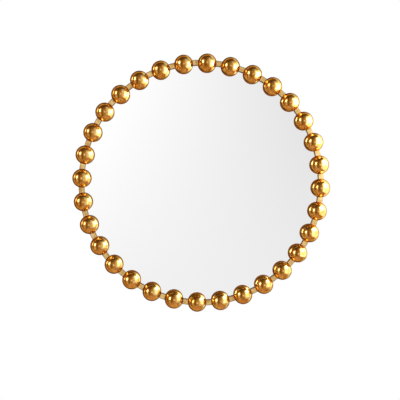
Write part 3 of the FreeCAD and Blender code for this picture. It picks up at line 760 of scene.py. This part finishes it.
@finish
def fibre_board(graph, place, finishes):
    """Bare brown board: pressed fibres, darker flecks and a faint cloudiness."""
    cloud = graph.noise(place, 90 * MM, detail=3.0)
    fibres = graph.noise(graph.stretch(place, (1.0, 1.0, 3.0)), 2.4 * MM, detail=6.0,
                         roughness=0.7, distortion=1.5)
    crossing = graph.noise(graph.stretch(place, (3.0, 1.0, 1.0)), 2.4 * MM, detail=6.0,
                           roughness=0.7, distortion=1.5)
    flecks = graph.ramp(graph.cells(place, 7 * MM), 0.06, 0.16, 1.0, 0.0)
    dark = tuple(0.62 * share for share in finishes.fibre)
    pale = tuple(min(1.0, 1.22 * share) for share in finishes.fibre)
    tone = graph.mix(0.55 * fibres + 0.45 * crossing, dark, pale)
    tone = graph.mix(0.25 * cloud, tone, finishes.fibre)
    tone = graph.mix(0.55 * flecks, tone, dark)
    graph.surface(
        Base_Color=tone, Roughness=0.78 + 0.12 * fibres,
        Normal=graph.bump(fibres + crossing, 0.12 * MM, 0.6))


@finish
def bronze_paint(graph, place, finishes):
    """Dark bronze paint with a fine spray texture."""
    spray = graph.noise(place, 0.9 * MM, detail=3.0)
    cloud = graph.noise(place, 25 * MM, detail=4.0)
    glint = tuple(min(1.0, 1.7 * share) for share in finishes.bronze)
    tone = graph.mix(graph.ramp(0.5 * spray + 0.5 * cloud, 0.42, 0.66), finishes.bronze, glint)
    graph.surface(
        Base_Color=tone, Metallic=0.55, Roughness=0.42 + 0.16 * spray,
        Normal=graph.bump(spray, 0.06 * MM, 0.6))


@finish
def zinc_plate(graph, place, finishes):
    """Bright zinc with faint crystals and rubbing marks."""
    crystals = graph.cells(place, 2.2 * MM, output="Color")
    shade = graph.parts(crystals)[0]
    rubs = graph.noise(graph.stretch(place, (6.0, 6.0, 0.5)), 1.2 * MM, detail=4.0)
    dull = tuple(0.78 * share for share in finishes.zinc)
    tone = graph.mix(0.5 * shade + 0.5 * rubs, dull, finishes.zinc)
    graph.surface(
        Base_Color=tone, Metallic=1.0, Roughness=0.24 + 0.10 * shade + 0.08 * rubs,
        Normal=graph.bump(rubs, 0.02 * MM, 0.5))


@finish
def black_rubber(graph, place, finishes):
    """Moulded rubber with a bloom of dust and a matt grain."""
    grain = graph.noise(place, 0.5 * MM, detail=3.0)
    bloom = graph.ramp(graph.noise(place, 6 * MM, detail=4.0), 0.50, 0.75)
    dusty = tuple(share + 0.05 for share in finishes.rubber)
    graph.surface(
        Base_Color=graph.mix(0.6 * bloom, finishes.rubber, dusty),
        Roughness=0.58 + 0.2 * bloom, Normal=graph.bump(grain, 0.05 * MM, 0.6))


@finish
def white_foam(graph, place, finishes):
    """Closed-cell foam sheet."""
    bubbles = graph.cells(place, 0.8 * MM)
    hollow = tuple(0.85 * share for share in finishes.foam)
    graph.surface(
        Base_Color=graph.mix(bubbles, finishes.foam, hollow), Roughness=0.85,
        Normal=graph.bump(bubbles, 0.1 * MM, 0.5))


# Operators ------------------------------------------------

class MakeBalls(bpy.types.Operator):
    """Add the gilded balls, each slotted over the bar."""

    bl_idname = "beaded_mirror.balls"
    bl_label = "Gilded balls"

    def execute(self, context):
        ball, leaf = ball_surface(context.scene.mirror_ring), burnished_leaf()
        for number, node in enumerate(BALL_NODES):
            grid = about_axis(ball, FIRST_ANGLE + number * PITCH)
            add_piece(f"gilded_ball_{number + 1:02d}", tube(grid), leaf, node)
        return {"FINISHED"}


class MakeBar(bpy.types.Operator):
    """Add the flat gilded bar, with the screw that tightens its joint."""

    bl_idname = "beaded_mirror.bar"
    bl_label = "Ring bar"

    def execute(self, context):
        ring, satin = context.scene.mirror_ring, satin_gold()
        add_piece("gilded_ring_bar", bar_sheets(ring), satin, "ring_bar")
        add_piece("joint_grub_screw", tube(joint_screw_surface(ring)), satin,
                  "ring_joint_screw")
        refinish("ring_joint_dowel", zinc_plate())
        refinish("bead_screws", zinc_plate())
        return {"FINISHED"}


class MakePlate(bpy.types.Operator):
    """Add the silvered plate, and finish the foam behind it."""

    bl_idname = "beaded_mirror.plate"
    bl_label = "Mirror plate"

    def execute(self, context):
        arris = context.scene.mirror_back.glass_arris
        profile = disc_profile(GLASS_HIGH.x, GLASS_LOW.y, GLASS_HIGH.y, arris, arris)
        add_piece("silvered_plate", tube(turned(profile, columns=ROUND_COLUMNS)),
                  silvered_glass(), "mirror_glass")
        refinish("glass_cushion", white_foam())
        return {"FINISHED"}


class MakeBack(bpy.types.Operator):
    """Add the hoop, the back board and the lugs that hold it in."""

    bl_idname = "beaded_mirror.back"
    bl_label = "Hoop, board and lugs"

    def execute(self, context):
        back, outer, paint = context.scene.mirror_back, HOOP_HIGH.x, bronze_paint()
        inner = outer - back.hoop_thickness
        corners = [(inner, HOOP_LOW.y), (outer, HOOP_LOW.y), (outer, HOOP_HIGH.y),
                   (inner, HOOP_HIGH.y)]
        hoop = turned(rounded(corners, 0.25 * MM, 4, hold=HOLD)[0], columns=ROUND_COLUMNS)
        add_piece("rebate_hoop", tube(hoop, closed_rows=True), paint,
                  "rebate_band")
        profile = disc_profile(BOARD_HIGH.x, BOARD_LOW.y, BOARD_HIGH.y, 0.3 * MM, back.board_edge)
        add_piece("fibre_back_board", tube(turned(profile, columns=ROUND_COLUMNS)),
                  fibre_board(), "back_board")
        half, reach = back.lug_width / 2, outer - back.lug_reach
        corners = [(reach, -half), (outer, -half), (outer, half), (reach, half)]
        edges = (back.lug_corner, 0.4 * MM, 0.4 * MM, back.lug_corner)
        outline, outward = rounded(corners, edges, 10)
        lug_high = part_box(LUG_NODES[0])[1].y
        lug = slab(outline, outward, BOARD_HIGH.y, lug_high, 0.3 * MM)
        for number, node in enumerate(LUG_NODES):
            grid = about_axis(lug, LINK_ANGLE + number * FULL_TURN / len(LUG_NODES))
            add_piece(f"board_lug_{number + 1}", tube(grid), paint, node)
        return {"FINISHED"}


class MakeBumpers(bpy.types.Operator):
    """Add the rubber bumpers that rest on the wall."""

    bl_idname = "beaded_mirror.bumpers"
    bl_label = "Wall bumpers"

    def execute(self, context):
        profile, rubber = bumper_profile(context.scene.mirror_back), black_rubber()
        for number, node in enumerate(BUMPER_NODES):
            x, _, z = centre_of(node)
            foot = turned(profile, centre=(x, z))
            add_piece(f"rubber_bumper_{number + 1}", tube(foot, closed_rows=True),
                      rubber, node)
        return {"FINISHED"}


class MakeHangers(bpy.types.Operator):
    """Add the strap hangers and the D rings that swing in them."""

    bl_idname = "beaded_mirror.hangers"
    bl_label = "Strap hangers"

    def execute(self, context):
        hanger, zinc = context.scene.mirror_hangers, zinc_plate()
        for name, side in SIDES.items():
            add_piece(f"curled_strap_{name}", tube(strap_surface(hanger, side)),
                      zinc, f"hanger_strap_{name}")
            wire = ring_surface(hanger, side)
            add_piece(f"d_ring_{name}", tube(wire, closed_rows=True),
                      zinc, f"hanger_ring_{name}", body=f"{name}_ring")
        return {"FINISHED"}


class MakeScrews(bpy.types.Operator):
    """Add the pan-head screws in the lugs, bumpers and hangers."""

    bl_idname = "beaded_mirror.screws"
    bl_label = "Screws"

    def execute(self, context):
        back, hanger = context.scene.mirror_back, context.scene.mirror_hangers
        lug_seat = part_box(LUG_NODES[0])[1].y
        lug_screw = screw_surface(back, HOOP_HIGH.x - back.lug_screw_inset, 0, lug_seat)
        turns = LINK_ANGLE + np.arange(len(LUG_NODES)) * FULL_TURN / len(LUG_NODES)
        bumper_seat = BOARD_HIGH.y + back.bumper_seat
        strap_seat = BOARD_HIGH.y + hanger.strap_thickness
        heights = [hanger.axis_height - drop for drop in (hanger.upper_screw, hanger.lower_screw)]
        groups = {
            ("lug_pan_screws", "lug_screws"): [about_axis(lug_screw, turn) for turn in turns],
            ("bumper_pan_screws", "bumper_screws"): [
                screw_surface(back, x, z, bumper_seat)
                for x, _, z in (centre_of(node) for node in BUMPER_NODES)],
            ("strap_pan_screws", "hanger_screws"): [
                screw_surface(back, side * HANGER_X, height, strap_seat)
                for side in SIDES.values() for height in heights],
        }
        for (name, node), grids in groups.items():
            sheets = [Sheet(grid, closed_columns=True) for grid in grids]
            add_piece(name, sheets, zinc_plate(), node)
        return {"FINISHED"}


# Stage ----------------------------------------------------

WARM, WHITE = (1.0, 0.57, 0.20), (1.0, 1.0, 1.0)
PATCHES = {  # parts of the room: limits and softness of their sides and of their heights
    "window": ((-65.0, -50.0, 4.0), (3.0, 25.0, 6.0)),
    "far window": ((-105.0, -92.0, 4.0), (3.0, 25.0, 6.0)),
    "window wall": ((-72.0, -40.0, 14.0), (-38.0, 38.0, 16.0)),
    "gloom": ((-50.0, -18.0, 8.0), (-60.0, 60.0, 10.0)),
    "glow": ((19.0, 112.0, 20.0), (-38.0, 58.0, 20.0)),
    "beyond": ((104.0, 165.0, 14.0), (-50.0, 60.0, 20.0)),
}
LAMPS = (  # name, middle, width, height, turn in degrees, and the setting of its brightness
    ("wide_lamp", (0.91, -0.31, 0.14), 1.35, 1.62, 64.5, "panel_light"),
    ("lamp_core", (0.93, -0.25, 0.33), 0.85, 0.66, 64.5, "core_light"),
    ("side_lamp", (0.64, 0.20, 0.05), 0.34, 0.90, 90.0, "panel_light"),
)


def paint_room(stage):
    """The room that shows in the mirror and the balls, by direction.

    Side is the angle to the right of straight out from the mirror, height the angle above
    level, and y runs from -1 straight out to 1 straight back. Two narrow windows stand to
    the left. The wall that faces the mirror is pale and darkens to the right. The rest of
    the room is dim and warm, in rings: its front, its darker sides, and the wall that the
    mirror hangs on, with a gloomy stretch beside the windows and a bright right-hand side.
    """
    world = bpy.data.worlds.new("studio_room")
    bpy.context.scene.world = world
    graph = Graph(world)
    x, y, z = graph.parts(graph.add("ShaderNodeTexCoord", output="Generated"))
    side = x.step("ARCTAN2", x, -y) * math.degrees(1)
    height = z.step("ARCSINE", z) * math.degrees(1)
    window, far_window, window_wall, gloom, glow, beyond = (
        graph.between(side, *sides) * graph.between(height, *heights)
        for sides, heights in PATCHES.values())
    panes = window + 0.5 * far_window

    low = graph.ramp(height, -36.0, -12.0, 1.0, 0.0)
    rings = (0.46 + 0.08 * graph.between(y, -0.72, -0.40, 0.15)
             - 0.27 * graph.between(y, -0.40, 0.10, 0.16) * (1 - low)
             + 0.22 * graph.between(y, 0.10, 0.45, 0.16) - 0.28 * graph.ramp(y, 0.40, 0.60))
    ceiling = graph.ramp(height, 32.0, 44.0) * graph.ramp(y, -0.1, 0.2, 1.0, 0.0)
    walls = rings * (1 - 0.6 * gloom) * (1 - 0.5 * ceiling)

    # The facing wall is a round patch, measured from the middle of what the plate shows.
    off_x, off_z = x - 0.052, z + 0.013
    off_axis = (off_x * off_x + off_z * off_z).root()
    facing = graph.ramp(off_axis, 0.155, 0.25, 1.0, 0.0) * graph.ramp(y, -0.6, -0.3, 1.0, 0.0)
    pale = 0.94 - 0.74 * off_x + 0.18 * off_z - 4.0 * off_x * off_z

    white = (glow + beyond + panes + facing + 0.4 * window_wall).at_most(1.0)
    light = (walls + facing * (pale - walls) + 0.4 * glow + 0.4 * beyond
             + 0.28 * window_wall + stage.window_light * panes)
    tint = graph.mix(white, WARM, WHITE)

    # The backdrop is white to the camera, and in glass or gold that shows it edge on.
    path = graph.add("ShaderNodeLightPath", output="Is Camera Ray").socket.node.outputs
    camera, glossy, through = (
        Value(graph, path[name])
        for name in ("Is Camera Ray", "Is Glossy Ray", "Is Transmission Ray"))
    backdrop = graph.ramp(y, 0.985, 0.998)
    shown = (camera + (glossy + through) * backdrop).at_most(1.0)
    light = light + 0.8 * graph.ramp(y, 0.4, 0.6) * (1 - glossy)  # reaches matt backs alone
    strength = light + (1 - light) * shown
    tint = graph.mix(shown, tint, WHITE)
    shine = graph.add("ShaderNodeBackground", None, {"Color": tint, "Strength": strength})
    graph.add("ShaderNodeOutputWorld", None, {"Surface": shine})


def add_lamp(name, middle, width, height, turn, brightness):
    """A flat upright lamp that faces along Y, turned anticlockwise seen from above."""
    lamp = bpy.data.lights.new(name, "AREA")
    lamp.shape = "RECTANGLE"
    lamp.size, lamp.size_y = width, height
    lamp.energy = brightness * math.pi * width * height
    holder = bpy.data.objects.new(name, lamp)
    holder.location = middle
    holder.rotation_euler = (math.radians(90), 0, math.radians(turn))
    bpy.context.scene.collection.objects.link(holder)


@finish
def pale_floor(graph, place, stage):
    """A plain floor, a little cloudy."""
    worn = tuple(0.94 * share for share in stage.floor)
    cloud = graph.noise(place, 0.6, detail=4.0)
    graph.surface(Base_Color=graph.mix(cloud, stage.floor, worn), Roughness=0.8)


def add_floor(stage):
    """A flat round floor, most of it in front of the wall."""
    angle = np.linspace(0, FULL_TURN, 180, endpoint=False)
    rim = stage.floor_radius * np.stack([np.cos(angle), np.sin(angle) - 0.5], axis=1)
    rim = np.concatenate([rim, np.full((len(rim), 1), -stage.floor_drop)], axis=1)
    mesh = bpy.data.meshes.new("pale_floor")
    mesh.from_pydata(rim.tolist(), [], [list(range(len(rim)))])
    mesh.materials.append(pale_floor(stage))
    floor = bpy.data.objects.new("pale_floor", mesh)
    bpy.context.scene.collection.objects.link(floor)


class SetStage(bpy.types.Operator):
    """Add the floor, the room's light and the camera."""

    bl_idname = "beaded_mirror.stage"
    bl_label = "Stage"

    def execute(self, context):
        stage = context.scene.mirror_stage
        add_floor(stage)
        paint_room(stage)
        for *place, setting in LAMPS:
            add_lamp(*place, getattr(stage, setting))

        lens = bpy.data.cameras.new("picture_camera")
        lens.sensor_width = 36
        lens.lens = stage.focal_ratio * lens.sensor_width
        camera = bpy.data.objects.new("picture_camera", lens)
        camera.location = (-stage.camera_left, -stage.distance, stage.camera_up)
        camera.rotation_euler = (math.radians(90) - stage.dip, 0, -stage.pan)
        context.scene.collection.objects.link(camera)
        context.scene.camera = camera
        context.scene.view_settings.view_transform = "Standard"
        return {"FINISHED"}


# Add-on ---------------------------------------------------

MAKERS = (
    MakeBalls, MakeBar, MakePlate, MakeBack, MakeBumpers, MakeHangers, MakeScrews, SetStage)
SETTINGS = {
    "mirror_ring": RingSizes,
    "mirror_back": BackSizes,
    "mirror_hangers": HangerSizes,
    "mirror_finishes": Finishes,
    "mirror_stage": StageSettings,
}


class MirrorPanel(bpy.types.Panel):
    """Lists the mirror's settings and the steps that make it."""

    bl_idname = "VIEW3D_PT_beaded_mirror"
    bl_label = "Beaded wall mirror"
    bl_space_type = "VIEW_3D"
    bl_region_type = "UI"
    bl_category = "Mirror"

    def draw(self, context):
        for maker in MAKERS:
            self.layout.operator(maker.bl_idname)
        for name, settings in SETTINGS.items():
            group = getattr(context.scene, name)
            box = self.layout.box()
            for setting in settings.__annotations__:
                box.prop(group, setting)


def register():
    for made in (*SETTINGS.values(), *MAKERS, MirrorPanel):
        bpy.utils.register_class(made)
    for name, settings in SETTINGS.items():
        setattr(bpy.types.Scene, name, bpy.props.PointerProperty(type=settings))


def unregister():
    for name in SETTINGS:
        delattr(bpy.types.Scene, name)
    for made in (MirrorPanel, *reversed(MAKERS), *reversed(SETTINGS.values())):
        bpy.utils.unregister_class(made)


def main():
    """Register the add-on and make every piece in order."""
    register()
    bpy.ops.beaded_mirror.balls()
    bpy.ops.beaded_mirror.bar()
    bpy.ops.beaded_mirror.plate()
    bpy.ops.beaded_mirror.back()
    bpy.ops.beaded_mirror.bumpers()
    bpy.ops.beaded_mirror.hangers()
    bpy.ops.beaded_mirror.screws()
    bpy.ops.beaded_mirror.stage()


if __name__ == "__main__":
    main()
